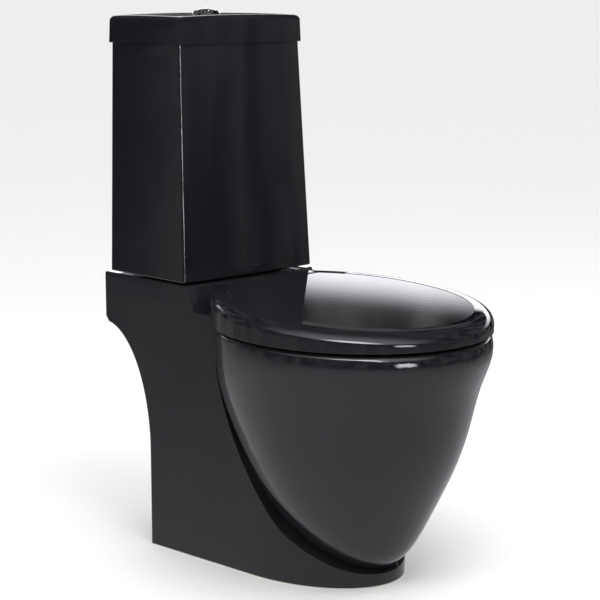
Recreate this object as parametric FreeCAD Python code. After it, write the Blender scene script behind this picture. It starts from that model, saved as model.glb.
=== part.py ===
"""Close coupled toilet: pan, cistern, lid, seat, flush valve, fill valve and their fastenings.

Millimetres. X is to the user's left when seated, -Y is the front, +Z is up.
The origin is on the floor, under the middle of the whole object.
"""
import os

import FreeCAD
import Part
from math import acos, atan, cos, pi, sin, tan

# ---------------------------------------------------------------- driving dimensions
# Pan
PAN_REAR_Y = 312.4          # the shelf's back, which stands against the wall
RIM_Z = 370.0               # top of the bowl's rim
DECK_Z = 381.0              # top of the raised deck that carries the seat hinges
SHELF_Z = 420.0             # top of the shelf that carries the cistern
SHELF_HALF = 131.5          # half the shelf's width
SHELF_FRONT_Y = 120.0       # shelf's front corners
DECK_REAR_Y = 101.0         # foot of the slope between shelf and deck, at its corners
DECK_FRONT_Y = 54.0         # step from the deck down to the rim
FRONT_BOW = 15.0            # how far the shelf's front edge bows forward at the middle
FOOT_REAR_Y = 207.0         # back of the pedestal at the floor
TOE_Y = -178.0              # front of the foot
TOE_HALF = 120.0            # half width of the ellipse that the toe is part of
TOE_WIDEST_Y = 5.0
SIDE_FLARE = 0.055          # how much each side widens per mm towards the back
WALL = 12.0                 # thickness of the ceramic walls

# Bowl's outer sections: height, half width, Y of the widest place
BOWL_SECTIONS = [(16, 17, -138), (40, 60, -126), (75, 93, -112), (120, 121, -103),
                 (175, 146, -101), (235, 166, -98), (300, 182, -98), (370, 189, -102)]
EGG_FRONT = 1.09            # front half length over half width
EGG_REAR = 1.17             # back half length over half width

# Bowl's inner sections, down to the sump
WELL_SECTIONS = [(112, 44, -78), (150, 66, -84), (200, 98, -94), (260, 133, -106),
                 (300, 152, -113), (334, 166, -120)]
WELL_WALL = 10.0
RIM_UNDERSIDE_Z = 358.0      # the rim is 12 mm thick, and the well's wall meets it from below
WELL_EGG = 0.98             # the well is nearly round, so that it clears the seat studs
RIM_OPENING = (150.0, 143.0, 129.0, -128.0)   # half width, front and back half length, widest Y

# Waste trap and outlet
OUTLET_Z = 180.0
OUTLET_END_Y = 296.0
OUTLET_R = 51.0             # outside of the spigot, for a 110 mm pan connector's seal
OUTLET_BORE_R = 42.0
TRAP_R = 33.0
TRAP_WALL = 9.0

# Cistern
CISTERN_Z = 423.0           # underside, on the 3 mm coupling pads
CISTERN_TOP_Z = 774.0
CISTERN_LOW = (132.0, 122.0, 298.0)    # half width, front Y, back Y at the underside
CISTERN_HIGH = (121.5, 139.5, 299.0)   # the same at the top
CISTERN_BOW = 4.0           # how far its front bulges
CISTERN_WALL = 9.0
CISTERN_FLOOR = 12.0
LID_TOP_Z = 818.0
LID_OVERHANG = 2.5
LID_EDGE_R = 8.0            # rounding of the lid's corners and top edge
COUPLING_X = 78.0           # coupling bolts, either side of the flush hole
COUPLING_Y = 190.0
FLUSH_Y = 190.0             # axis of the flush valve and of the pan's inlet
INLET_X = -80.0             # axis of the fill valve
INLET_Y = 252.0

# Seat
COVER_HALF = 193.0
COVER_WIDEST_Y = -102.0
COVER_FRONT = 210.0         # from the widest place to the front
COVER_REAR = 227.0          # the back ellipse, cut short at COVER_REAR_Y
COVER_REAR_Y = 80.5
COVER_EDGE_Z = 374.0        # lower edge of the cover and of the ring
COVER_FRONT_Z = 399.5       # top of the cover at its front edge
COVER_RISE = 0.0613         # the cover's top rises this much per mm towards the back
COVER_SHELL = 5.0
RING_INSET = 8.0            # from the cover's outline to the ring's
RING_GAP = 2.5              # between the ring's top and the inside of the cover
RING_REAR_Y = 45.0
RING_REAR = 205.0            # the ring's back ellipse: shorter, so that the cover's sides swing past it
HINGE_Y = 66.0
HINGE_Z = 404.0
HINGE_X = 77.5              # hinge posts, at the usual 155 mm hole spacing
PIN_R = 3.5
KNUCKLE_R = 8.5
RUNNING = 0.05              # radial clearance of a pin in its knuckle

# Flush and fill valves
BUTTON_Y = 218.0            # middle of the push button
BUTTON_R = 16.0
ROD_X = 7.0                 # push rods, either side of the middle
ROD_Y = 227.0
ROCKER_Y = 216.0            # pivot of the two rocker levers
ROCKER_Z = 733.0
FLOAT_TOP_Z = 688.0
LEVER_Y = 268.0             # pivot of the float lever
LEVER_Z = 726.0

V = FreeCAD.Vector


# ---------------------------------------------------------------- shared shapes
def block(x0, x1, y0, y1, z0, z1):
    """A box given by its limits."""
    return Part.makeBox(x1 - x0, y1 - y0, z1 - z0, V(x0, y0, z0))


def post(x, y, z0, z1, r):
    """An upright cylinder."""
    return Part.makeCylinder(r, z1 - z0, V(x, y, z0))


def pipe(x, y, z0, z1, r_out, r_in):
    """An upright tube."""
    return post(x, y, z0, z1, r_out).cut(post(x, y, z0 - 1, z1 + 1, r_in))


def bar_x(x0, x1, y, z, r):
    """A cylinder along X."""
    return Part.makeCylinder(r, x1 - x0, V(x0, y, z), V(1, 0, 0))


def bar_y(x, y0, y1, z, r):
    """A cylinder along Y."""
    return Part.makeCylinder(r, y1 - y0, V(x, y0, z), V(0, 1, 0))


def hexagon(x, y, z0, z1, flats):
    """A hexagonal prism, flats millimetres across its flats."""
    r = flats / 2 / cos(pi / 6)
    points = [V(x + r * cos(k * pi / 3), y + r * sin(k * pi / 3), z0) for k in range(7)]
    return prism(Part.makePolygon(points), V(0, 0, z1 - z0))


def prism(wire, run):
    """A closed flat wire pushed along a vector."""
    return Part.Face(wire).extrude(run)


def join(shapes):
    """One solid from several that touch or overlap."""
    return shapes[0].multiFuse(shapes[1:]).removeSplitter()


def group(shapes):
    """Separate solids that share one node."""
    return Part.makeCompound(shapes)


def both_sides(shape):
    """A shape and its mirror image in the middle plane."""
    return [shape, shape.mirror(V(0, 0, 0), V(1, 0, 0))]


def half_ellipse(half_width, reach, widest_y, z, side):
    """Half an egg outline, through its tip at the back (side 1) or at the front (side -1)."""
    middle = V(0, widest_y, z)
    tip = V(0, widest_y + side * reach, z)
    flank = V(side * half_width, widest_y, z)
    if reach > half_width:
        return Part.Ellipse(tip, flank, middle).toShape(-pi / 2, pi / 2)
    return Part.Ellipse(flank, tip, middle).toShape(0, pi)


def egg(half_width, front, rear, widest_y, z):
    """A closed egg outline: two half ellipses that meet at the widest place."""
    back = half_ellipse(half_width, rear, widest_y, z, 1)
    fore = half_ellipse(half_width, front, widest_y, z, -1)
    return Part.Wire(Part.__sortEdges__([back, fore]))


def egg_loft(sections, front_ratio, rear_ratio, grow=0.0):
    """A smooth solid through egg sections, each one widened by grow."""
    wires = []
    for z, half, widest_y in sections:
        wide = half + grow
        wires.append(egg(wide, half * front_ratio + grow, half * rear_ratio + grow, widest_y, z))
    return Part.makeLoft(wires, True, False)


def bowed_front(half, y, bow, z):
    """A front edge that bows forward in one arc, from the left corner to the right one."""
    return Part.Arc(V(-half, y, z), V(0, y - bow, z), V(half, y, z)).toShape()


# ---------------------------------------------------------------- pan
def plan_outline(inset, z, rear_y):
    """The pedestal seen from above: an elliptical toe, and straight sides that leave it at a tangent."""
    half = TOE_HALF - inset
    reach = TOE_WIDEST_Y - TOE_Y - inset
    turn = atan(SIDE_FLARE * reach / half)
    middle = V(0, TOE_WIDEST_Y, z)
    toe = Part.Ellipse(V(0, TOE_WIDEST_Y - reach, z), V(half, TOE_WIDEST_Y, z), middle)
    side_x = half * cos(turn)
    side_y = TOE_WIDEST_Y - reach * sin(turn)
    rear_x = side_x + SIDE_FLARE * (rear_y - side_y)
    corners = [V(side_x, side_y, z), V(rear_x, rear_y, z), V(-rear_x, rear_y, z), V(-side_x, side_y, z)]
    edges = [Part.makeLine(corners[k], corners[k + 1]) for k in range(3)]
    edges.append(toe.toShape(turn - pi / 2, pi / 2 - turn))
    return Part.Wire(Part.__sortEdges__(edges))


def side_outline():
    """The pedestal's side view: S-curved back, deck, and the lip that follows the bowl to the toe."""
    x = -200.0
    back = Part.Ellipse(V(x, 315, 342), V(x, FOOT_REAR_Y, 150), V(x, 315, 150))
    back_arc = back.toShape(0.085, pi / 2)
    shoulder = back.value(0.085)
    if abs(back.value(pi / 2).y - FOOT_REAR_Y) > 1:
        raise ValueError("the pedestal's back curve turns the wrong way")
    lip = Part.BSplineCurve()
    lip.interpolate([V(x, y, z) for y, z in [(-186, 17), (-147, 29), (-97, 56), (-64, 79), (-29, 118),
                                             (9, 172), (43, 240), (61, 300)]])
    lip_start = V(x, -186, 17)
    lip_end = V(x, 61, 300)
    corners = [shoulder, V(x, PAN_REAR_Y, 350), V(x, PAN_REAR_Y, DECK_Z), V(x, DECK_FRONT_Y, DECK_Z),
               V(x, DECK_FRONT_Y, RIM_Z), V(x, 61, RIM_Z - 8), lip_end]
    edges = [Part.makeLine(V(x, FOOT_REAR_Y, 0), V(x, FOOT_REAR_Y, 150)), back_arc, lip.toShape()]
    edges += [Part.makeLine(corners[k], corners[k + 1]) for k in range(len(corners) - 1)]
    edges.append(Part.makeLine(lip_start, V(x, -186, 0)))
    edges.append(Part.makeLine(V(x, -186, 0), V(x, FOOT_REAR_Y, 0)))
    return Part.Wire(Part.__sortEdges__(edges))


def shelf_outline(front_y, z):
    """The shelf seen from above, with its front edge bowed forward."""
    front = bowed_front(SHELF_HALF, front_y, FRONT_BOW, z)
    corners = [V(SHELF_HALF, front_y, z), V(SHELF_HALF, PAN_REAR_Y, z),
               V(-SHELF_HALF, PAN_REAR_Y, z), V(-SHELF_HALF, front_y, z)]
    edges = [front] + [Part.makeLine(corners[k], corners[k + 1]) for k in range(3)]
    return Part.Wire(Part.__sortEdges__(edges))


def pan_outside():
    """The casting's outer skin: egg-shaped bowl, pedestal, deck, slope and cistern shelf."""
    bowl = egg_loft(BOWL_SECTIONS, EGG_FRONT, EGG_REAR)
    rim_edges = [e for e in bowl.Edges if e.BoundBox.ZMin > RIM_Z - 0.1]
    bowl = bowl.makeFillet(6.0, rim_edges)
    pedestal = prism(plan_outline(0, 0, 330), V(0, 0, DECK_Z)).common(prism(side_outline(), V(400, 0, 0)))
    pedestal = pedestal.common(block(-SHELF_HALF, SHELF_HALF, -200, 330, 0, DECK_Z))
    shelf = Part.makeLoft([shelf_outline(DECK_REAR_Y, DECK_Z), shelf_outline(SHELF_FRONT_Y, SHELF_Z)],
                          True, True)
    top_edges = [e for e in shelf.Edges if e.BoundBox.ZMin > SHELF_Z - 0.1]
    shelf = shelf.makeFillet(2.5, top_edges)
    return join([pedestal, bowl, shelf])


def pan_hollows():
    """The space inside the casting, open to the floor and to the wall behind it."""
    profile = [(-163, -1), (330, -1), (330, 404), (120, 404), (102, 369), (72, 369), (72, 300),
               (54, 240), (21, 172), (-17, 118), (-53, 79), (-90, 50), (-135, 14)]
    points = [V(-200, y, z) for y, z in profile + profile[:1]]
    inside = prism(Part.makePolygon(points), V(400, 0, 0))
    inside = inside.common(prism(plan_outline(WALL, -1, 330), V(0, 0, 500)))
    inside = inside.common(block(WALL - SHELF_HALF, SHELF_HALF - WALL, -200, 340, -1, 500))
    rim_z, rim_half, rim_y = BOWL_SECTIONS[-1]
    under_rim = (RIM_UNDERSIDE_Z, rim_half, rim_y)
    nose = egg_loft(BOWL_SECTIONS[1:-1] + [under_rim], EGG_FRONT, EGG_REAR, -WALL)
    nut_pockets = both_sides(block(HINGE_X - 20, HINGE_X + 20, 46, 90, 318, DECK_Z - WALL))
    return [inside, nose] + nut_pockets


def trap_path():
    """The waste trap's centre line: down from the sump, under the dip, up over the weir and out."""
    points = [(-74, 165), (-58, 63), (28, 63), (84, OUTLET_Z), (190, OUTLET_Z)]
    bend = 44.0
    at = [V(0, y, z) for y, z in points]
    edges = []
    last = at[0]
    for k in range(1, len(at) - 1):
        into = (at[k] - at[k - 1]).normalize()
        out = (at[k + 1] - at[k]).normalize()
        turn = into.getAngle(out)
        back_off = bend * tan(turn / 2)
        start = at[k] - into * back_off
        end = at[k] + out * back_off
        bisector = (out - into).normalize()
        middle = at[k] + bisector * (bend / cos(turn / 2) - bend)
        edges.append(Part.makeLine(last, start))
        edges.append(Part.Arc(start, middle, end).toShape())
        last = end
    edges.append(Part.makeLine(last, at[-1]))
    return Part.Wire(edges)


def trap_solid(r):
    """The trap's bore or its outside, swept along its centre line."""
    path = trap_path()
    first = path.Edges[0]
    start = first.valueAt(first.FirstParameter)
    along = first.tangentAt(first.FirstParameter)
    section = Part.Wire(Part.makeCircle(r, start, along))
    return path.makePipeShell([section], True, True)


def trapway_outside():
    """The trap and the outlet spigot as one bent bar, before they are bored."""
    return join([trap_solid(TRAP_R + TRAP_WALL), bar_y(0, 120, OUTLET_END_Y, OUTLET_Z, OUTLET_R)])


def well_outside():
    """The well's outer face, with the ledge and the upright wall that carry it up to the rim."""
    half, front, rear, widest_y = RIM_OPENING
    top_z, top_half, top_y = WELL_SECTIONS[-1]
    ledge_half = top_half + WELL_WALL
    ledge_reach = top_half * WELL_EGG + WELL_WALL
    bottom = (WELL_SECTIONS[0][0] - WELL_WALL, WELL_SECTIONS[0][1], WELL_SECTIONS[0][2])
    cup = egg_loft([bottom] + WELL_SECTIONS[1:], WELL_EGG, WELL_EGG, WELL_WALL)
    ledge = prism(egg(ledge_half, ledge_reach, ledge_reach, top_y, top_z - 1), V(0, 0, WELL_WALL + 1))
    wall = prism(egg(half + WELL_WALL, front + WELL_WALL, rear + WELL_WALL, widest_y, top_z),
                 V(0, 0, RIM_UNDERSIDE_Z - top_z))
    return join([cup, ledge, wall])


def waterways():
    """The open way for the water: flush duct, mouth, well, trap bore and outlet bore."""
    half, front, rear, widest_y = RIM_OPENING
    return [egg_loft(WELL_SECTIONS, WELL_EGG, WELL_EGG), trap_solid(TRAP_R),
            bar_y(0, 128, OUTLET_END_Y + 1, OUTLET_Z, OUTLET_BORE_R),
            prism(egg(half, front, rear, widest_y, 330), V(0, 0, 60)),
            block(-26, 26, -8, FLUSH_Y, 340, 357), post(0, FLUSH_Y, 340, SHELF_Z + 1, 33),
            post(0, FLUSH_Y, 403, SHELF_Z + 1, 46)]


def trapway():
    """The waste trap and its outlet spigot, cast apart and joined to the well before firing."""
    return trapway_outside().cut(waterways())


def pan_well():
    """The bowl's inner casting: a rimless well that hangs from the rim."""
    return well_outside().cut([trapway_outside()] + waterways())


def pan():
    """The outer casting: skin, rim, flush duct, deck, cistern shelf and floor lugs."""
    outside = pan_outside()
    body = outside
    for space in pan_hollows():
        body = body.cut(space)
    duct_walls = [block(-38, 38, 8, FLUSH_Y, 328, 370), post(0, FLUSH_Y, 328, 410, 57)]
    lugs = [lug.common(outside) for lug in both_sides(block(72, 130, 132, 178, 0, 16))]
    body = join([body, join(duct_walls).common(outside)] + lugs)
    cuts = [well_outside(), trapway_outside()] + waterways()
    cuts += both_sides(post(COUPLING_X, COUPLING_Y, 390, SHELF_Z + 1, 6.5))
    cuts += both_sides(post(HINGE_X, HINGE_Y, 360, DECK_Z + 1, 7))
    cuts += both_sides(post(95, 155, -1, 20, 5.5))
    cuts.append(post(INLET_X, INLET_Y, 390, SHELF_Z + 1, 22))
    return body.cut(cuts)


# ---------------------------------------------------------------- cistern and lid
def cistern_outline(half, front_y, rear_y, z, inset):
    """The cistern seen from above, with its front bulging a little."""
    front = bowed_front(half - inset, front_y + inset, CISTERN_BOW, z)
    corners = [V(half - inset, front_y + inset, z), V(half - inset, rear_y - inset, z),
               V(inset - half, rear_y - inset, z), V(inset - half, front_y + inset, z)]
    edges = [front] + [Part.makeLine(corners[k], corners[k + 1]) for k in range(3)]
    return Part.Wire(Part.__sortEdges__(edges))


def cistern_block(z0, z1, inset):
    """A slice of the tapered cistern between two heights, shrunk by inset on every side."""
    wires = []
    for z in (z0, z1):
        up = (z - CISTERN_Z) / (CISTERN_TOP_Z - CISTERN_Z)
        size = [low + (high - low) * up for low, high in zip(CISTERN_LOW, CISTERN_HIGH)]
        wires.append(cistern_outline(size[0], size[1], size[2], z, inset))
    return Part.makeLoft(wires, True, True)


def upright_edges(shape, height):
    """The edges that climb at least this high, which are a box's corners."""
    return [e for e in shape.Edges if e.BoundBox.ZLength > height]


def cistern():
    """The tapered ceramic tank, open at the top, with its holes in the floor."""
    outside = cistern_block(CISTERN_Z, CISTERN_TOP_Z, 0)
    outside = outside.makeFillet(4.0, upright_edges(outside, 300))
    outside = outside.makeFillet(2.5, [e for e in outside.Edges if e.BoundBox.ZMax < CISTERN_Z + 0.1])
    inside = cistern_block(CISTERN_Z + CISTERN_FLOOR, CISTERN_TOP_Z, CISTERN_WALL)
    inside = inside.makeFillet(8.0, upright_edges(inside, 300))
    mouth = cistern_block(CISTERN_TOP_Z - 1, CISTERN_TOP_Z + 10, CISTERN_WALL)
    top = CISTERN_Z + CISTERN_FLOOR + 1
    holes = [post(0, FLUSH_Y, CISTERN_Z - 1, top, 30), post(INLET_X, INLET_Y, CISTERN_Z - 1, top, 11.5)]
    holes += both_sides(post(COUPLING_X, COUPLING_Y, CISTERN_Z - 1, top, 6.5))
    return outside.cut([inside, mouth] + holes)


def cistern_lid():
    """The loose ceramic lid: crowned top, rounded edges, a locating lip and the button's hole."""
    base_z = CISTERN_TOP_Z + 0.4
    half, front_y, rear_y = CISTERN_HIGH
    grow = LID_OVERHANG
    wires = [cistern_outline(half, front_y, rear_y, base_z, -grow),
             cistern_outline(half, front_y, rear_y, LID_TOP_Z + 5, 1.5 - grow)]
    slab = Part.makeLoft(wires, True, True)
    crown = 3200.0
    dome = Part.makeSphere(crown, V(0, BUTTON_Y, LID_TOP_Z - crown))
    slab = slab.common(dome)
    slab = slab.makeFillet(LID_EDGE_R, [e for e in slab.Edges if e.BoundBox.ZMin > base_z + 1])
    lip = cistern_block(CISTERN_TOP_Z - 9, CISTERN_TOP_Z + 8, CISTERN_WALL + 2)
    lip = lip.makeFillet(6.0, upright_edges(lip, 10))
    hollow = cistern_block(CISTERN_TOP_Z - 10, LID_TOP_Z - 11, CISTERN_WALL + 7)
    hollow = hollow.makeFillet(6.0, upright_edges(hollow, 10))
    return join([slab, lip]).cut([hollow, post(0, BUTTON_Y, 780, 830, 19.6)])


# ---------------------------------------------------------------- seat
def cover_outline(inset, z, rear_y, reach=COVER_REAR):
    """The cover or ring seen from above: an egg cut straight across at the hinges."""
    half = COVER_HALF - inset
    rear = reach - inset
    front_arc = half_ellipse(half, COVER_FRONT - inset, COVER_WIDEST_Y, z, -1)
    cut_turn = acos((rear_y - COVER_WIDEST_Y) / rear)
    middle = V(0, COVER_WIDEST_Y, z)
    curve = Part.Ellipse(V(0, COVER_WIDEST_Y + rear, z), V(half, COVER_WIDEST_Y, z), middle)
    sides = [curve.toShape(cut_turn, pi / 2), curve.toShape(-pi / 2, -cut_turn)]
    back = Part.makeLine(curve.value(cut_turn), curve.value(-cut_turn))
    return Part.Wire(Part.__sortEdges__([front_arc, back] + sides))


def cover_top(y, drop=0.0):
    """Height of the sloping top at some Y, or of a face this far below it."""
    return COVER_FRONT_Z + COVER_RISE * (y - COVER_WIDEST_Y + COVER_FRONT) - drop


def wedge(outline, z0, drop, corner_r, top_r):
    """An outline raised to the sloping top, with its back corners and its top edge rounded."""
    solid = prism(outline, V(0, 0, 120))
    rear_y = outline.BoundBox.YMax
    corners = [e for e in upright_edges(solid, 100) if abs(e.BoundBox.YMin - rear_y) < 1]
    if corner_r:
        solid = solid.makeFillet(corner_r, corners)
    y0, y1 = -400.0, 200.0
    roof = [V(-300, y0, cover_top(y0, drop)), V(-300, y1, cover_top(y1, drop)),
            V(-300, y1, z0 + 200), V(-300, y0, z0 + 200)]
    solid = solid.cut(prism(Part.makePolygon(roof + roof[:1]), V(600, 0, 0)))
    rims = [e for e in solid.Edges if e.BoundBox.ZMin > z0 + 5 and not e.BoundBox.ZLength > 50]
    rims = [e for e in rims if e.BoundBox.XLength > 15 or e.BoundBox.YLength > 15]
    return solid.makeFillet(top_r, rims)


def seat_cover():
    """The wrap-over cover: a moulded shell that slopes up to the hinges, with two hinge knuckles."""
    outside = wedge(cover_outline(0, COVER_EDGE_Z, COVER_REAR_Y), COVER_EDGE_Z, 0, 22, 19)
    inside = wedge(cover_outline(COVER_SHELL, COVER_EDGE_Z - 20, 118), COVER_EDGE_Z - 20, COVER_SHELL,
                   0, 14)
    over_deck = [block(-200, 200, RING_REAR_Y + 3, 200, 370, DECK_Z + 3),
                 block(-200, 200, HINGE_Y - 4, 200, 370, DECK_Z + 8)]
    shell = outside.cut([inside] + over_deck)
    knuckles = both_sides(bar_x(50, 67, HINGE_Y, HINGE_Z, KNUCKLE_R))
    ribs = both_sides(block(50, 67, HINGE_Y - 7, HINGE_Y + 6, HINGE_Z, 422).common(outside))
    shell = join([shell] + knuckles + ribs)
    return shell.cut(both_sides(bar_x(40, 68, HINGE_Y, HINGE_Z, PIN_R + RUNNING)))


def seat_ring():
    """The seat ring, thicker towards the hinges, with two hinge knuckles behind it."""
    ring = wedge(cover_outline(RING_INSET, COVER_EDGE_Z, RING_REAR_Y, RING_REAR), COVER_EDGE_Z,
                 COVER_SHELL + RING_GAP, 16, 8)
    hole = prism(egg(114, 128, 124, -118, COVER_EDGE_Z - 5), V(0, 0, 100))
    ring = ring.cut(hole)
    inner = [e for e in ring.Edges if e.BoundBox.ZMin > COVER_EDGE_Z + 8 and e.BoundBox.XMax < 116
             and e.BoundBox.XMin > -116 and e.BoundBox.YLength > 60]
    ring = ring.makeFillet(8.0, inner)
    arms = both_sides(block(88, 104, 38, HINGE_Y, HINGE_Z - 7, HINGE_Z + 7))
    arms += both_sides(bar_x(88, 104, HINGE_Y, HINGE_Z, KNUCKLE_R))
    ring = join([ring] + arms)
    return ring.cut(both_sides(bar_x(80, 110, HINGE_Y, HINGE_Z, PIN_R + RUNNING)))


def ring_buffers():
    """Four rubber pads under the ring, which land on the ceramic rim."""
    pads = []
    for x, y in [(150, -20), (96, -258)]:
        pads += both_sides(post(x, y, RIM_Z + 0.4, COVER_EDGE_Z, 8))
    return group(pads)


def cover_buffers():
    """Four small rubber pads inside the cover, which land on the ring."""
    pads = []
    for x, y in [(150, -30), (92, -250)]:
        face = cover_top(y + 6, COVER_SHELL + RING_GAP) + 0.5
        roof = wedge(cover_outline(COVER_SHELL, COVER_EDGE_Z - 20, 118), COVER_EDGE_Z - 20, COVER_SHELL,
                     0, 14)
        pads += both_sides(post(x, y, face, face + 10, 6).common(roof))
    return group(pads)


def hinge_posts():
    """Two cast posts on round bases; each holds one hinge pin."""
    x0 = HINGE_X - 8
    x1 = HINGE_X + 8
    base = post(HINGE_X, HINGE_Y, DECK_Z + 1.5, DECK_Z + 5, 18)
    stem = block(x0, x1, HINGE_Y - 6.5, HINGE_Y + 6.5, DECK_Z + 5, HINGE_Z)
    eye = bar_x(x0, x1, HINGE_Y, HINGE_Z, KNUCKLE_R)
    bore = bar_x(x0 - 1, x1 + 1, HINGE_Y, HINGE_Z, PIN_R)
    socket = post(HINGE_X, HINGE_Y, DECK_Z, DECK_Z + 4, 4)
    return group(both_sides(join([base, stem, eye]).cut([bore, socket])))


def hinge_pins():
    """Steel pins that carry the ring and the cover."""
    return group(both_sides(bar_x(49, 105, HINGE_Y, HINGE_Z, PIN_R)))


def hinge_gaskets():
    """Rubber discs between the hinge bases and the glazed deck."""
    return group(both_sides(pipe(HINGE_X, HINGE_Y, DECK_Z, DECK_Z + 1.5, 17.5, 4)))


def hinge_studs():
    """M8 studs from the hinge bases down through the deck."""
    return group(both_sides(post(HINGE_X, HINGE_Y, 338, DECK_Z + 4, 4)))


def hinge_stud_bushes():
    """Rubber cones that centre the studs in their holes from below."""
    low = DECK_Z - WALL
    cone = Part.makeCone(12, 14, 6, V(HINGE_X, HINGE_Y, low - 6))
    return group(both_sides(cone.cut(post(HINGE_X, HINGE_Y, low - 8, low + 2, 4))))


def wing_nut(x, y, z_top, bore):
    """A wing nut under a clamped face."""
    hub = post(x, y, z_top - 9, z_top, 8)
    wings = block(x - 17, x + 17, y - 2, y + 2, z_top - 12, z_top - 3)
    return join([hub, wings]).cut(post(x, y, z_top - 20, z_top + 1, bore))


def hinge_wing_nuts():
    """Plastic wing nuts that pull the hinges down."""
    return group(both_sides(wing_nut(HINGE_X, HINGE_Y, DECK_Z - WALL - 6, 4)))


# ---------------------------------------------------------------- cistern fastenings
def coupling_bolts():
    """M8 brass bolts that clamp the cistern to the shelf, heads inside the cistern."""
    floor = CISTERN_Z + CISTERN_FLOOR
    bolt = join([post(COUPLING_X, COUPLING_Y, 372, floor + 4, 4),
                 hexagon(COUPLING_X, COUPLING_Y, floor + 3, floor + 9, 16)])
    return group(both_sides(bolt))


def coupling_head_washers():
    """Rubber washers that seal the bolt heads against the cistern's floor."""
    floor = CISTERN_Z + CISTERN_FLOOR
    return group(both_sides(pipe(COUPLING_X, COUPLING_Y, floor, floor + 3, 14, 4)))


def coupling_pads():
    """Rubber pads that hold the cistern clear of the shelf."""
    return group(both_sides(pipe(COUPLING_X, COUPLING_Y, SHELF_Z, CISTERN_Z, 17, 4)))


def coupling_plate_washers():
    """Steel washers under the shelf."""
    return group(both_sides(pipe(COUPLING_X, COUPLING_Y, 402, 404, 13, 4)))


def coupling_wing_nuts():
    """Wing nuts under the shelf."""
    return group(both_sides(wing_nut(COUPLING_X, COUPLING_Y, 402, 4)))


def doughnut_seal():
    """The soft ring that seals the flush valve's tail into the pan."""
    ring = pipe(0, FLUSH_Y, 403, CISTERN_Z, 45, 39.5)
    return ring.makeFillet(2.0, [e for e in ring.Edges if e.Length > 200])


# ---------------------------------------------------------------- flush valve
def flush_valve_body():
    """Threaded tail, seat, cage, guide ribs and the yoke that carries the rocker levers."""
    floor = CISTERN_Z + CISTERN_FLOOR
    shapes = [pipe(0, FLUSH_Y, 398, floor + 4, 29, 24), pipe(0, FLUSH_Y, floor + 3, floor + 8, 37, 24),
              pipe(0, FLUSH_Y, floor + 7, floor + 10, 26, 22), pipe(0, FLUSH_Y, 488, 494, 35, 12.5)]
    for k in range(4):
        turn = pi / 4 + k * pi / 2
        shapes.append(post(31 * cos(turn), FLUSH_Y + 31 * sin(turn), floor + 7, 489, 3))
    shapes += both_sides(block(15, 20, FLUSH_Y - 4, FLUSH_Y + 4, 493, 695))
    yoke = block(-21, 21, FLUSH_Y - 18, ROCKER_Y + 9, 694, 700)
    shapes.append(yoke.cut(post(0, FLUSH_Y, 690, 710, 12.5)))
    shapes += both_sides(block(15, 19, ROCKER_Y - 7, ROCKER_Y + 7, 699, ROCKER_Z + 7))
    return join(shapes).cut(bar_x(-20, 20, ROCKER_Y, ROCKER_Z, 2))


def flush_valve_gasket():
    """Rubber ring between the valve's flange and the cistern's floor."""
    floor = CISTERN_Z + CISTERN_FLOOR
    return pipe(0, FLUSH_Y, floor, floor + 3, 36, 29)


def flush_valve_backnut():
    """The big plastic nut under the cistern."""
    nut = pipe(0, FLUSH_Y, 409, CISTERN_Z, 37, 29)
    slots = [block(-2.5, 2.5, FLUSH_Y + 33, FLUSH_Y + 40, 400, 418).rotate(V(0, FLUSH_Y, 0), V(0, 0, 1), 45 * k)
             for k in range(8)]
    return nut.cut(slots)


def overflow_tube():
    """The moving centre tube: its foot closes the valve and its open top is the overflow."""
    foot = pipe(0, FLUSH_Y, 449.5, 453, 18, 9)
    tube = pipe(0, FLUSH_Y, 445.5, 744, 11, 9)
    collar = block(-12, 4, FLUSH_Y - 11, FLUSH_Y + 17, 737.5, 741)
    collar = collar.cut(post(0, FLUSH_Y, 730, 750, 10))
    return join([tube, foot, collar])


def flush_seal():
    """The rubber disc that rests on the valve's seat."""
    return pipe(0, FLUSH_Y, 445.4, 449.5, 27, 11)


def rocker(x0, x1):
    """A rocker lever: a push rod presses its back end, and its front end lifts."""
    beam = block(x0, x1, FLUSH_Y + 11.8, ROD_Y + 3, ROCKER_Z - 2.5, ROCKER_Z + 2.5)
    boss = bar_x(x0, x1, ROCKER_Y, ROCKER_Z, 4.5)
    nose = bar_x(x0, x1, FLUSH_Y + 14, ROCKER_Z + 1.5, 2.4)
    return join([beam, boss, nose]).cut(bar_x(x0 - 1, x1 + 1, ROCKER_Y, ROCKER_Z, 2 + RUNNING))


def full_flush_rocker():
    """The lever that the full flush rod presses."""
    return rocker(-12, -2)


def half_flush_rocker():
    """The lever that the half flush rod presses."""
    return rocker(5, 12)


def rocker_pin():
    """The steel pin that both levers turn on."""
    return bar_x(-20, 20, ROCKER_Y, ROCKER_Z, 2)


# ---------------------------------------------------------------- push button
def button_bezel():
    """The chromed ring, with a threaded neck through the lid and a floor for the springs."""
    neck = pipe(0, BUTTON_Y, LID_TOP_Z - 22, LID_TOP_Z, 19, BUTTON_R + 0.4)
    flange = Part.makeCone(22, 18.5, 4, V(0, BUTTON_Y, LID_TOP_Z))
    flange = flange.cut(post(0, BUTTON_Y, LID_TOP_Z - 10, LID_TOP_Z + 10, BUTTON_R + 0.4))
    floor = post(0, BUTTON_Y, LID_TOP_Z - 24, LID_TOP_Z - 21, 19)
    holes = [post(x, ROD_Y, LID_TOP_Z - 30, LID_TOP_Z - 18, 2.4) for x in (-ROD_X, ROD_X)]
    return join([neck, flange, floor]).cut(holes)


def button_nut():
    """The nut that pulls the bezel down from inside the lid."""
    return hexagon(0, BUTTON_Y, LID_TOP_Z - 19, LID_TOP_Z - 11, 48).cut(
        post(0, BUTTON_Y, LID_TOP_Z - 30, LID_TOP_Z, 19))


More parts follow.
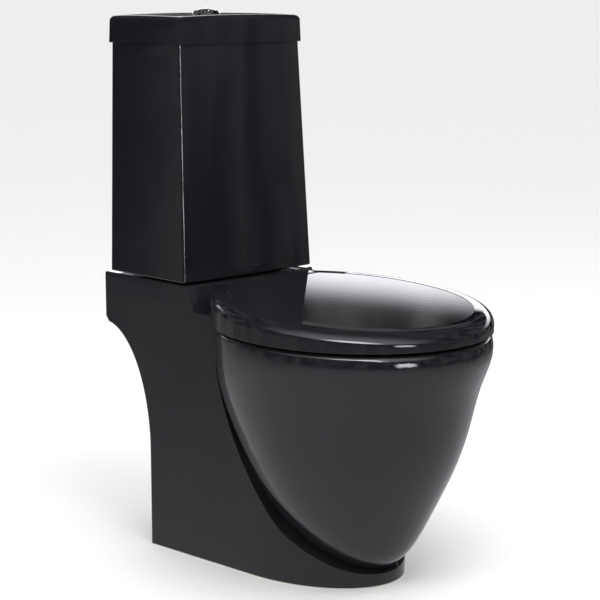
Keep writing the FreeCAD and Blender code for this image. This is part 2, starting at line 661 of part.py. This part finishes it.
def button_half(side):
    """One half of the domed dual button."""
    body = post(0, BUTTON_Y, LID_TOP_Z - 7, LID_TOP_Z + 10, BUTTON_R)
    dome = Part.makeSphere(46, V(0, BUTTON_Y, LID_TOP_Z + 7 - 46))
    body = body.common(dome)
    keep = block(0.5, 30, BUTTON_Y - 30, BUTTON_Y + 30, 780, 830)
    if side < 0:
        keep = keep.mirror(V(0, 0, 0), V(1, 0, 0))
    return body.common(keep)


def full_flush_button():
    """The half that gives a full flush."""
    return button_half(-1)


def half_flush_button():
    """The half that gives a half flush."""
    return button_half(1)


def push_rod(x):
    """The rod under one half of the button."""
    tip = Part.makeCone(0.8, 2.0, 2.0, V(x, ROD_Y, ROCKER_Z + 3.3))
    return join([tip, post(x, ROD_Y, ROCKER_Z + 5.3, LID_TOP_Z - 7, 2.0)])


def full_flush_rod():
    """The full flush push rod."""
    return push_rod(-ROD_X)


def half_flush_rod():
    """The half flush push rod."""
    return push_rod(ROD_X)


def button_spring(side):
    """A coil spring round a push rod, between the bezel's floor and the button."""
    coil = 3.3
    wire_r = 0.4
    helix = Part.makeHelix(2.9, 11.6, coil)
    section = Part.Wire(Part.makeCircle(wire_r, V(coil, 0, 0), V(0, 1, 0)))
    spring = Part.Wire(helix.Edges).makePipeShell([section], True, True)
    spring.translate(V(side * ROD_X, ROD_Y, LID_TOP_Z - 20.6 + wire_r))
    return spring


def full_flush_spring():
    """The full flush button's return spring."""
    return button_spring(-1)


def half_flush_spring():
    """The half flush button's return spring."""
    return button_spring(1)


# ---------------------------------------------------------------- fill valve
def fill_valve_shank():
    """Threaded inlet tail, flange and riser."""
    floor = CISTERN_Z + CISTERN_FLOOR
    shapes = [pipe(INLET_X, INLET_Y, 366, 408, 10.4, 6), pipe(INLET_X, INLET_Y, 407, 412, 9.4, 6),
              pipe(INLET_X, INLET_Y, 411, floor + 4, 10.4, 6), pipe(INLET_X, INLET_Y, floor + 3, floor + 8, 17, 6),
              pipe(INLET_X, INLET_Y, floor + 7, 690, 9, 6)]
    return join(shapes)


def fill_valve_gasket():
    """Rubber washer under the fill valve's flange."""
    floor = CISTERN_Z + CISTERN_FLOOR
    return pipe(INLET_X, INLET_Y, floor, floor + 3, 16.5, 10.4)


def fill_valve_nut():
    """Plastic nut that holds the fill valve, in the shelf's clearance hole."""
    return hexagon(INLET_X, INLET_Y, 412, CISTERN_Z, 30).cut(post(INLET_X, INLET_Y, 400, 430, 10.4))


def fill_valve_head():
    """The valve body on top of the riser, with its down pipe and ears for the float lever."""
    body = post(INLET_X, INLET_Y, 690, 706, 18)
    ears = [block(INLET_X + a, INLET_X + b, LEVER_Y - 6, LEVER_Y + 6, 699, LEVER_Z + 5)
            for a, b in ((-9, -5), (5, 9))]
    drain = pipe(INLET_X + 22, INLET_Y + 12, 600, 700, 5, 3.6)
    outlet = bar_x(INLET_X + 12, INLET_X + 26, INLET_Y + 12, 700, 5)
    head = join([body, outlet, drain] + ears)
    return head.cut(bar_x(INLET_X - 10, INLET_X + 10, LEVER_Y, LEVER_Z, 1.5))


def float_lever_pin():
    """The pin that the float lever turns on."""
    return bar_x(INLET_X - 9.5, INLET_X + 9.5, LEVER_Y, LEVER_Z, 1.5)


def float_lever():
    """The lever that the float's rod lifts to shut the valve."""
    beam = block(INLET_X - 3.5, INLET_X + 3.5, INLET_Y - 26, LEVER_Y, LEVER_Z - 2, LEVER_Z + 2)
    boss = bar_x(INLET_X - 4.5, INLET_X + 4.5, LEVER_Y, LEVER_Z, 4)
    return join([beam, boss]).cut(bar_x(INLET_X - 5, INLET_X + 5, LEVER_Y, LEVER_Z, 1.5 + RUNNING))


def float_cup():
    """The float: an inverted cup that slides on the riser, notched round the down pipe."""
    cup = pipe(INLET_X, INLET_Y, 628, FLOAT_TOP_Z, 25, 9.6)
    air = pipe(INLET_X, INLET_Y, 627, FLOAT_TOP_Z - 3, 23, 12)
    notch_wall = post(INLET_X + 22, INLET_Y + 12, 628, FLOAT_TOP_Z, 9)
    cup = join([cup.cut(air), notch_wall.common(post(INLET_X, INLET_Y, 628, FLOAT_TOP_Z, 25))])
    return cup.cut(post(INLET_X + 22, INLET_Y + 12, 600, 700, 6.5))


def float_rod():
    """The adjusting rod between float and lever."""
    return post(INLET_X, INLET_Y - 22.5, FLOAT_TOP_Z, LEVER_Z - 3.4, 1.6)


NODES = [
    pan, pan_well, trapway, cistern, coupling_bolts, coupling_head_washers, coupling_pads, coupling_plate_washers,
    coupling_wing_nuts, doughnut_seal, flush_valve_body, flush_valve_gasket, flush_valve_backnut,
    overflow_tube, flush_seal, full_flush_rocker, half_flush_rocker, rocker_pin,
    fill_valve_shank, fill_valve_gasket, fill_valve_nut, fill_valve_head, float_lever_pin,
    float_lever, float_cup, float_rod,
    cistern_lid, button_bezel, button_nut, full_flush_button, half_flush_button,
    full_flush_rod, half_flush_rod, full_flush_spring, half_flush_spring,
    hinge_gaskets, hinge_posts, hinge_pins, hinge_studs, hinge_stud_bushes, hinge_wing_nuts,
    seat_ring, ring_buffers, seat_cover, cover_buffers,
]

if __name__ == "__main__":
    os.makedirs("parts", exist_ok=True)
    for make in NODES:
        make().exportStep("parts/%s.step" % make.__name__)
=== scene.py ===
"""A close coupled toilet in glossy black: the looks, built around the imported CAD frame."""
import math

import bpy
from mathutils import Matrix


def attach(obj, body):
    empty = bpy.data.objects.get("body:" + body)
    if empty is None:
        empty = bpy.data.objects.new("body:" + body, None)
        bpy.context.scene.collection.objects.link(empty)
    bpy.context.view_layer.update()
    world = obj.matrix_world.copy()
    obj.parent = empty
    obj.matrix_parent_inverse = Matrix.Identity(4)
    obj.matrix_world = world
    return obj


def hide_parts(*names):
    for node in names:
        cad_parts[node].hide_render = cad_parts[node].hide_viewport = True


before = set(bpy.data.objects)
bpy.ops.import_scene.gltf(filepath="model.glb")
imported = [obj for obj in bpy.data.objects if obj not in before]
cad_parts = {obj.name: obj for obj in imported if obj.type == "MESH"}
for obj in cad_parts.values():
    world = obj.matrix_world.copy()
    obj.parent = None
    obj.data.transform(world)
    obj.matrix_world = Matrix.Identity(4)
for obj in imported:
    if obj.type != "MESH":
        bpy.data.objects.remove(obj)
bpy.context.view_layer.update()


# ---------------------------------------------------------------- studio
# A pale floor under an even white sky. What shines on the toilet sees a dimmer room instead: a lit floor,
# a bright low window behind, one broad softbox beside the camera and a narrow upright one in front.
def add_studio_light(name, place, turn, width, height, power):
    bpy.ops.object.light_add(type="AREA", location=place, rotation=[math.radians(a) for a in turn])
    lamp = bpy.context.object
    lamp.name = name
    lamp.data.shape = "RECTANGLE"
    lamp.data.size = width
    lamp.data.size_y = height
    lamp.data.energy = power
    lamp.visible_glossy = False


bpy.ops.object.select_all(action="DESELECT")
bpy.ops.object.camera_add(location=(-1.8108, -1.8649, 0.8744),
                          rotation=(math.radians(90 - 10.38), 0, math.radians(-44)))
camera = bpy.context.object
camera.data.sensor_width = 36
camera.data.lens = 106.24
bpy.context.scene.camera = camera
bpy.context.scene.view_settings.view_transform = "Standard"

# These three lamps light the scene but don't show in the gloss, where the room's own softboxes do.
add_studio_light("overhead_softbox", (-0.3, -0.9, 2.6), (18, 0, 0), 1.2, 0.9, 26)
add_studio_light("left_softbox", (-2.6, 0.4, 1.6), (0, -62, 0), 0.5, 1.6, 16)
add_studio_light("right_softbox", (2.4, -1.2, 1.9), (0, 58, -20), 0.5, 1.4, 14)


class Field:
    """A shader socket that takes part in ordinary arithmetic."""

    def __init__(self, tree, socket):
        self.tree = tree
        self.socket = socket

    def maths(self, operation, first, second):
        node = self.tree.nodes.new("ShaderNodeMath")
        node.operation = operation
        for place, item in zip(node.inputs, (first, second)):
            if isinstance(item, Field):
                self.tree.links.new(item.socket, place)
            else:
                place.default_value = item
        return Field(self.tree, node.outputs[0])

    def __add__(self, other):
        return self.maths("ADD", self, other)

    def __radd__(self, other):
        return self.maths("ADD", other, self)

    def __sub__(self, other):
        return self.maths("SUBTRACT", self, other)

    def __rsub__(self, other):
        return self.maths("SUBTRACT", other, self)

    def __mul__(self, other):
        return self.maths("MULTIPLY", self, other)

    def __rmul__(self, other):
        return self.maths("MULTIPLY", other, self)

    def __gt__(self, other):
        return self.maths("GREATER_THAN", self, other)

    def __lt__(self, other):
        return self.maths("LESS_THAN", self, other)


class Surface:
    """The nodes of one material, or of the sky."""

    def __init__(self, tree):
        self.tree = tree

    def node(self, kind, settings=None, values=None, output=0):
        node = self.tree.nodes.new("ShaderNode" + kind)
        for setting, value in (settings or {}).items():
            setattr(node, setting, value)
        for socket, value in (values or {}).items():
            self.feed(node, socket, value)
        return Field(self.tree, node.outputs[output])

    def feed(self, node, socket, value):
        if isinstance(value, Field):
            self.tree.links.new(value.socket, node.inputs[socket])
        else:
            node.inputs[socket].default_value = value

    def ramp(self, value, low, high):
        """0 below low, 1 above high, and smooth between them."""
        return self.node("MapRange", {"interpolation_type": "SMOOTHSTEP"},
                         {"Value": value, "From Min": low, "From Max": high})


sky = bpy.data.worlds.new("studio_sky")
bpy.context.scene.world = sky
sky.use_nodes = True
air = Surface(sky.node_tree)
way = air.node("TexCoord", output="Generated")
across = air.node("SeparateXYZ", values={0: way}, output="X")
away = air.node("SeparateXYZ", values={0: way}, output="Y")
rise = air.node("SeparateXYZ", values={0: way}, output="Z")
behind = across * 0.69 + away * 0.72
beside = across * -0.81 + away * -0.58
ahead = across * -0.22 + away * -0.97
lit_floor = 1 - air.ramp(rise, -0.42, -0.10)
window = air.ramp(behind, 0.55, 0.92) * air.ramp(rise, 0.09, 0.15) * (1 - air.ramp(rise, 0.248, 0.266))
softbox_glow = 15 * air.ramp(beside, 0.82, 0.94) + 2.2 * air.ramp(beside, 0.1, 0.9)
broad_softbox = air.ramp(rise, 0.25, 0.33) * softbox_glow
upright_band = air.ramp(rise, -0.13, 0.04) * (1 - air.ramp(rise, 0.12, 0.15))
upright_softbox = air.ramp(ahead, 0.976, 0.990) * upright_band
stretched_way = air.node("Mapping", values={"Vector": way, "Scale": (3.2, 3.2, 1.5)})
furniture = air.node("TexNoise", values={"Vector": stretched_way, "Scale": 2.2, "Detail": 4.0,
                                         "Roughness": 0.62})
warm = air.ramp(furniture, 0.54, 0.66) * (1 - lit_floor)
shadows = (air.ramp(furniture, 0.42, 0.60) - 0.4) * air.ramp(rise, -0.30, -0.05)
room_light = 0.055 + 0.56 * lit_floor + 0.22 * shadows
room_light = room_light + 3.0 * window + broad_softbox + 12 * upright_softbox
studio_room = air.node("CombineColor", values={0: room_light + 0.05 * warm, 1: room_light + 0.02 * warm,
                                               2: room_light * 1.05})
shine = air.node("LightPath", output="Is Glossy Ray")
seen = air.node("MixRGB", values={"Fac": shine, "Color1": (0.97, 0.97, 0.97, 1), "Color2": studio_room})
backdrop = sky.node_tree.nodes["Background"]
air.feed(backdrop, "Color", seen)
backdrop.inputs["Strength"].default_value = 1.0

bpy.ops.mesh.primitive_plane_add(size=160, location=(0, 0, 0))
floor = bpy.context.object
floor.name = "studio_floor"
floor.visible_glossy = False
floor_paint = bpy.data.materials.new("pale_floor")
floor_paint.use_nodes = True
floor_paint.node_tree.nodes["Principled BSDF"].inputs["Base Color"].default_value = (0.90, 0.90, 0.89, 1)
floor_paint.node_tree.nodes["Principled BSDF"].inputs["Roughness"].default_value = 0.9
floor.data.materials.append(floor_paint)


# ---------------------------------------------------------------- pan
# Slip-cast vitreous china: the outer casting, the bowl's well and the trap are joined before firing.
# It is fired with a black glaze, which pools a little. The foot is left bare where it stood in the kiln.
def start_finish(name, **values):
    """A material, its nodes, and its surface position in metres."""
    material = bpy.data.materials.new(name)
    material.use_nodes = True
    shader = material.node_tree.nodes["Principled BSDF"]
    for socket, value in values.items():
        shader.inputs[socket.replace("_", " ")].default_value = value
    surface = Surface(material.node_tree)
    return material, surface, shader, surface.node("TexCoord", output="Object")


def glaze(name, black, ripple):
    """A black glaze: nearly mirror smooth, with a slow ripple, pinholes and a bare foot."""
    foot_height = 0.0015
    material, surface, shader, place = start_finish(name, IOR=1.52, Coat_Weight=0.0)
    height = surface.node("SeparateXYZ", values={0: place}, output="Z")
    drift = surface.node("TexNoise", values={"Vector": place, "Scale": 9.0, "Detail": 2.0})
    grain = surface.node("TexNoise", values={"Vector": place, "Scale": 420.0, "Detail": 2.0})
    pinholes = surface.node("TexVoronoi", values={"Vector": place, "Scale": 130.0})
    wet = surface.node("Mix", {"data_type": "RGBA"},
                       {"Factor": drift, "A": (*black, 1), "B": (*[1.5 * part for part in black], 1)},
                       output="Result")
    bare = height < foot_height
    surface.feed(shader, "Base Color",
                 surface.node("Mix", {"data_type": "RGBA"},
                              {"Factor": bare, "A": wet, "B": (0.52, 0.49, 0.44, 1)}, output="Result"))
    surface.feed(shader, "Roughness", 0.035 + 0.03 * drift + 0.02 * grain + 0.6 * bare)
    relief = ripple * drift + 0.02 * grain - 0.05 * (pinholes < 0.06)
    surface.feed(shader, "Normal", surface.node("Bump", values={"Strength": 0.12, "Distance": 0.002,
                                                                "Height": relief}))
    return material


def smooth_copy(node, name, edge_angle=32):
    """The node's own surface, joined up and smoothed between its real edges."""
    bpy.ops.object.select_all(action="DESELECT")
    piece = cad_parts[node].copy()
    piece.data = piece.data.copy()
    piece.name = name
    piece.parent = None
    for tag in list(piece.keys()):
        del piece[tag]
    bpy.context.scene.collection.objects.link(piece)
    piece.select_set(True)
    bpy.context.view_layer.objects.active = piece
    bpy.ops.mesh.customdata_custom_splitnormals_clear()
    bpy.ops.object.mode_set(mode="EDIT")
    bpy.ops.mesh.select_all(action="SELECT")
    bpy.ops.mesh.remove_doubles(threshold=0.00001)
    bpy.ops.object.mode_set(mode="OBJECT")
    bpy.ops.object.shade_smooth_by_angle(angle=math.radians(edge_angle))
    bpy.ops.object.modifier_add(type="WEIGHTED_NORMAL")
    piece.modifiers[-1].keep_sharp = True
    bpy.ops.object.modifier_apply(modifier=piece.modifiers[-1].name)
    return piece


def finish_piece(piece, material, body, slot, *nodes):
    """Gives a piece its only material and its body, and hides the nodes that it stands for; the slot
    argument is not used.
    """
    piece.data.materials.clear()
    piece.data.materials.append(material)
    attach(piece, body)
    if nodes:
        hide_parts(*nodes)


black_glaze = glaze("black_china_glaze", (0.0085, 0.009, 0.0105), 1.0)
finish_piece(smooth_copy("pan", "glazed_pan"), black_glaze, "body", "black_glaze", "pan")
finish_piece(smooth_copy("pan_well", "glazed_well"), black_glaze, "body", "black_glaze", "pan_well")
finish_piece(smooth_copy("trapway", "glazed_trapway"), black_glaze, "body", "black_glaze", "trapway")


# ---------------------------------------------------------------- cistern and lid
# The cistern is a second casting in the same glaze, bolted on top of the shelf.
# Its lid is loose: it sits on the rim and a lip inside keeps it from sliding.
tank_glaze = glaze("black_tank_glaze", (0.0075, 0.008, 0.0095), 0.6)
finish_piece(smooth_copy("cistern", "glazed_cistern"), tank_glaze, "body", "black_glaze", "cistern")
finish_piece(smooth_copy("cistern_lid", "glazed_lid"), tank_glaze, "cistern_lid", "black_glaze",
             "cistern_lid")


# ---------------------------------------------------------------- seat cover
# The wrap-over cover is a glossy moulded thermoset shell, 5 mm thick, with a broad rolled edge.
# Its top slopes up towards the hinges, and two knuckles under it turn on the hinge pins.
def moulded_gloss(name, black):
    """Moulded gloss: a little softer than glaze, with the faint orange peel of a press tool."""
    material, surface, shader, place = start_finish(name, IOR=1.5)
    peel = surface.node("TexNoise", values={"Vector": place, "Scale": 240.0, "Detail": 2.0})
    drift = surface.node("TexNoise", values={"Vector": place, "Scale": 6.0, "Detail": 3.0})
    surface.feed(shader, "Base Color",
                 surface.node("Mix", {"data_type": "RGBA"},
                              {"Factor": drift, "A": (*black, 1),
                               "B": (*[1.4 * part for part in black], 1)}, output="Result"))
    surface.feed(shader, "Roughness", 0.022 + 0.025 * drift)
    surface.feed(shader, "Normal", surface.node("Bump", values={"Strength": 0.012, "Distance": 0.001,
                                                                "Height": peel + 0.5 * drift}))
    return material


def select_where(piece, kind, test):
    """In edit mode, selects only the vertices, edges or faces that pass a test."""
    bpy.ops.mesh.select_all(action="DESELECT")
    bpy.ops.mesh.select_mode(type=kind)
    bpy.ops.object.mode_set(mode="OBJECT")
    mesh = piece.data
    if kind == "VERT":
        for vertex in mesh.vertices:
            vertex.select = test(vertex.co)
    elif kind == "EDGE":
        for edge in mesh.edges:
            edge.select = test(*[mesh.vertices[end].co for end in edge.vertices])
    else:
        for face in mesh.polygons:
            face.select = test(face.center, face.normal)
    bpy.ops.object.mode_set(mode="EDIT")


COVER_WIDEST = -0.102
COVER_HALF = 0.193
COVER_FRONT = 0.210
COVER_BACK = 0.227
COVER_END = 0.0805
COVER_EDGE = 0.374
COVER_TILT = 0.0613
COVER_TOP_FRONT = 0.3995
HAIR = 0.0001
SKIRT_HEIGHT = 0.39
ROLLED_EDGE = 0.019
FLAT_MARGIN = 0.012
SHELL = 0.005
REAR_STEPS = ((0.048, 0.384), (0.062, 0.389))
bpy.ops.object.select_all(action="DESELECT")
bpy.ops.mesh.primitive_circle_add(vertices=160, radius=1, fill_type="NGON")
cover = bpy.context.object
cover.name = "moulded_cover"
bpy.ops.object.mode_set(mode="EDIT")
bpy.ops.transform.resize(value=(COVER_HALF, COVER_FRONT, 1), center_override=(0, 0, 0))
select_where(cover, "VERT", lambda at: at.y > HAIR)
bpy.ops.transform.resize(value=(1, COVER_BACK / COVER_FRONT, 1), center_override=(0, 0, 0))
bpy.ops.mesh.select_all(action="SELECT")
bpy.ops.transform.translate(value=(0, COVER_WIDEST, COVER_EDGE))
bpy.ops.mesh.bisect(plane_co=(0, COVER_END, 0), plane_no=(0, 1, 0), clear_outer=True)
bpy.ops.mesh.select_all(action="SELECT")
bpy.ops.mesh.extrude_region_move(TRANSFORM_OT_translate={"value": (0, 0, 0.08)})
bpy.ops.mesh.select_all(action="SELECT")
bpy.ops.mesh.bisect(plane_co=(0, COVER_WIDEST - COVER_FRONT, COVER_TOP_FRONT), plane_no=(0, -COVER_TILT, 1),
                    clear_outer=True, use_fill=True)
select_where(cover, "EDGE",
             lambda a, b: min(a.z, b.z) > SKIRT_HEIGHT and min(a.y, b.y) < COVER_END - HAIR)
bpy.ops.mesh.bevel(offset=ROLLED_EDGE, segments=14, profile=0.5, affect="EDGES", clamp_overlap=False)
select_where(cover, "FACE", lambda middle, way: way.z > 0.99 and middle.z > SKIRT_HEIGHT)
bpy.ops.mesh.inset(thickness=FLAT_MARGIN)
for cut_y, cut_z in REAR_STEPS:
    bpy.ops.mesh.select_all(action="SELECT")
    bpy.ops.mesh.bisect(plane_co=(0, cut_y, 0), plane_no=(0, 1, 0))
    bpy.ops.mesh.select_all(action="SELECT")
    select_where(cover, "FACE", lambda middle, way: middle.y > cut_y and abs(way.z) < 0.5)
    bpy.ops.mesh.bisect(plane_co=(0, 0, cut_z), plane_no=(0, 0, -1), clear_outer=True)
select_where(cover, "FACE", lambda middle, way: way.z < -0.9 or way.y > 0.999)
bpy.ops.mesh.delete(type="FACE")
bpy.ops.mesh.select_all(action="SELECT")
bpy.ops.mesh.remove_doubles(threshold=0.0002)
bpy.ops.mesh.normals_make_consistent(inside=False)
bpy.ops.object.mode_set(mode="OBJECT")
bpy.ops.object.modifier_add(type="SOLIDIFY")
shell = cover.modifiers[-1]
shell.thickness = SHELL
shell.offset = -1
bpy.ops.object.modifier_apply(modifier=shell.name)
bpy.ops.object.modifier_add(type="BEVEL")
lip = cover.modifiers[-1]
lip.width = 0.0012
lip.segments = 3
lip.limit_method = "ANGLE"
lip.angle_limit = math.radians(60)
bpy.ops.object.modifier_apply(modifier=lip.name)
bpy.ops.object.shade_smooth_by_angle(angle=math.radians(40))
bpy.ops.object.modifier_add(type="WEIGHTED_NORMAL")
cover.modifiers[-1].keep_sharp = True
bpy.ops.object.modifier_apply(modifier=cover.modifiers[-1].name)

seat_gloss = moulded_gloss("black_seat_gloss", (0.009, 0.0095, 0.011))
finish_piece(cover, seat_gloss, "seat_cover", "black_seat", "seat_cover")

COVER_AXLE = (0.066, 0.404)
KNUCKLE_RADIUS = 0.0085
KNUCKLE_WIDTH = 0.017
KNUCKLE_X = 0.0585
PIN_HOLE = 0.00355
RIB_SIZE = (0.0165, 0.011, 0.008)
RIB_MIDDLE_Z = 0.412
for side in (-1, 1):
    middle = side * KNUCKLE_X
    bpy.ops.object.select_all(action="DESELECT")
    bpy.ops.mesh.primitive_cylinder_add(vertices=48, radius=KNUCKLE_RADIUS, depth=KNUCKLE_WIDTH,
                                        location=(middle, *COVER_AXLE), rotation=(0, math.radians(90), 0))
    knuckle = bpy.context.object
    knuckle.name = "cover_knuckle_left" if side < 0 else "cover_knuckle_right"
    bpy.ops.object.transform_apply(location=True, rotation=True, scale=True)
    bpy.ops.object.mode_set(mode="EDIT")
    select_where(knuckle, "FACE", lambda at, way: abs(way.x) > 0.9)
    bpy.ops.mesh.inset(thickness=KNUCKLE_RADIUS - PIN_HOLE)
    bpy.ops.mesh.bridge_edge_loops()
    bpy.ops.mesh.select_all(action="DESELECT")
    bpy.ops.mesh.primitive_cube_add(size=1, location=(middle, COVER_AXLE[0] + 0.0005, 0))
    bpy.ops.transform.resize(value=RIB_SIZE, center_override=(middle, COVER_AXLE[0], 0))
    bpy.ops.transform.translate(value=(0, 0, RIB_MIDDLE_Z))
    bpy.ops.object.mode_set(mode="OBJECT")
    bpy.ops.object.modifier_add(type="BEVEL")
    knuckle.modifiers[-1].width = 0.0006
    knuckle.modifiers[-1].segments = 2
    knuckle.modifiers[-1].limit_method = "ANGLE"
    bpy.ops.object.modifier_apply(modifier=knuckle.modifiers[-1].name)
    bpy.ops.object.shade_smooth_by_angle(angle=math.radians(40))
    finish_piece(knuckle, seat_gloss, "seat_cover", "black_seat")


# ---------------------------------------------------------------- seat ring and buffers
# The ring is solid thermoset, pressed in the same tool steel gloss as the cover and thicker at the back.
# Soft rubber buffers are plugged into the underside of the ring and of the cover.
finish_piece(smooth_copy("seat_ring", "moulded_ring"), seat_gloss, "seat_ring", "black_seat", "seat_ring")


def paint(material, *nodes):
    """Puts one material on CAD parts whose shape is already the finished one."""
    for node in nodes:
        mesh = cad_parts[node].data
        mesh.materials.clear()
        mesh.materials.append(material)


def soft_rubber(name, shade):
    """Moulded rubber: dull, with a fine grain and a bloom of dust."""
    material, surface, shader, place = start_finish(name, IOR=1.45)
    grain = surface.node("TexNoise", values={"Vector": place, "Scale": 900.0, "Detail": 3.0})
    bloom = surface.node("TexNoise", values={"Vector": place, "Scale": 60.0, "Detail": 4.0})
    surface.feed(shader, "Base Color",
                 surface.node("Mix", {"data_type": "RGBA"},
                              {"Factor": bloom, "A": (shade, shade, shade, 1),
                               "B": (2.2 * shade, 2.2 * shade, 2.1 * shade, 1)}, output="Result"))
    surface.feed(shader, "Roughness", 0.62 + 0.2 * bloom)
    surface.feed(shader, "Normal", surface.node("Bump", values={"Strength": 0.3, "Distance": 0.0004,
                                                                "Height": grain}))
    return material


rubber = soft_rubber("black_rubber", 0.018)
paint(rubber, "ring_buffers", "cover_buffers", "hinge_gaskets", "hinge_stud_bushes", "coupling_pads",
      "coupling_head_washers", "doughnut_seal", "flush_valve_gasket", "flush_seal", "fill_valve_gasket")


# ---------------------------------------------------------------- hinges and push button
# The hinge posts, the button's bezel and its two halves are cast zinc and brass under bright chrome.
# Plated parts keep faint polishing marks and a few softer patches.
def plated(name, colour, rough, marks):
    """Plated or bare metal with fine polishing marks that run round the upright axis."""
    material, surface, shader, place = start_finish(name, Metallic=1.0)
    stretched = surface.node("Mapping", values={"Vector": place, "Scale": (260.0, 260.0, 2600.0)})
    lines = surface.node("TexNoise", values={"Vector": stretched, "Scale": 1.0, "Detail": 2.0})
    patches = surface.node("TexNoise", values={"Vector": place, "Scale": 70.0, "Detail": 3.0})
    surface.feed(shader, "Base Color",
                 surface.node("Mix", {"data_type": "RGBA"},
                              {"Factor": patches, "A": (*colour, 1),
                               "B": (*[0.82 * part for part in colour], 1)}, output="Result"))
    surface.feed(shader, "Roughness", rough + 0.5 * rough * patches)
    surface.feed(shader, "Normal", surface.node("Bump", values={"Strength": marks, "Distance": 0.0002,
                                                                "Height": lines}))
    return material


chrome = plated("bright_chrome", (0.80, 0.81, 0.83), 0.05, 0.06)
paint(chrome, "hinge_posts", "button_bezel", "full_flush_button", "half_flush_button")
steel = plated("plain_steel", (0.55, 0.56, 0.58), 0.24, 0.35)
paint(steel, "hinge_pins", "hinge_studs", "rocker_pin", "float_lever_pin", "coupling_plate_washers",
      "full_flush_spring", "half_flush_spring")
brass = plated("turned_brass", (0.71, 0.49, 0.20), 0.22, 0.35)
paint(brass, "coupling_bolts")


# ---------------------------------------------------------------- flush and fill valves
# Everything that works inside the cistern is injection moulded in white plastic, as are the wing nuts.
# The mouldings have a fine spark-eroded texture and yellow a little with age.
def moulded_white(name, colour):
    """White injection moulding: satin, finely textured and very slightly uneven in colour."""
    material, surface, shader, place = start_finish(name, IOR=1.46)
    texture = surface.node("TexNoise", values={"Vector": place, "Scale": 1400.0, "Detail": 2.0})
    age = surface.node("TexNoise", values={"Vector": place, "Scale": 18.0, "Detail": 3.0})
    surface.feed(shader, "Base Color",
                 surface.node("Mix", {"data_type": "RGBA"},
                              {"Factor": age, "A": (*colour, 1),
                               "B": (colour[0], 0.97 * colour[1], 0.90 * colour[2], 1)}, output="Result"))
    surface.feed(shader, "Roughness", 0.34 + 0.14 * age)
    surface.feed(shader, "Normal", surface.node("Bump", values={"Strength": 0.15, "Distance": 0.0002,
                                                                "Height": texture}))
    return material


white_plastic = moulded_white("white_moulding", (0.80, 0.80, 0.78))
paint(white_plastic, "flush_valve_body", "overflow_tube", "full_flush_rocker", "half_flush_rocker",
      "full_flush_rod", "half_flush_rod", "button_nut", "fill_valve_shank", "fill_valve_head",
      "float_lever", "float_rod", "hinge_wing_nuts", "coupling_wing_nuts")
black_plastic = moulded_white("black_moulding", (0.035, 0.035, 0.036))
paint(black_plastic, "flush_valve_backnut", "fill_valve_nut", "float_cup")
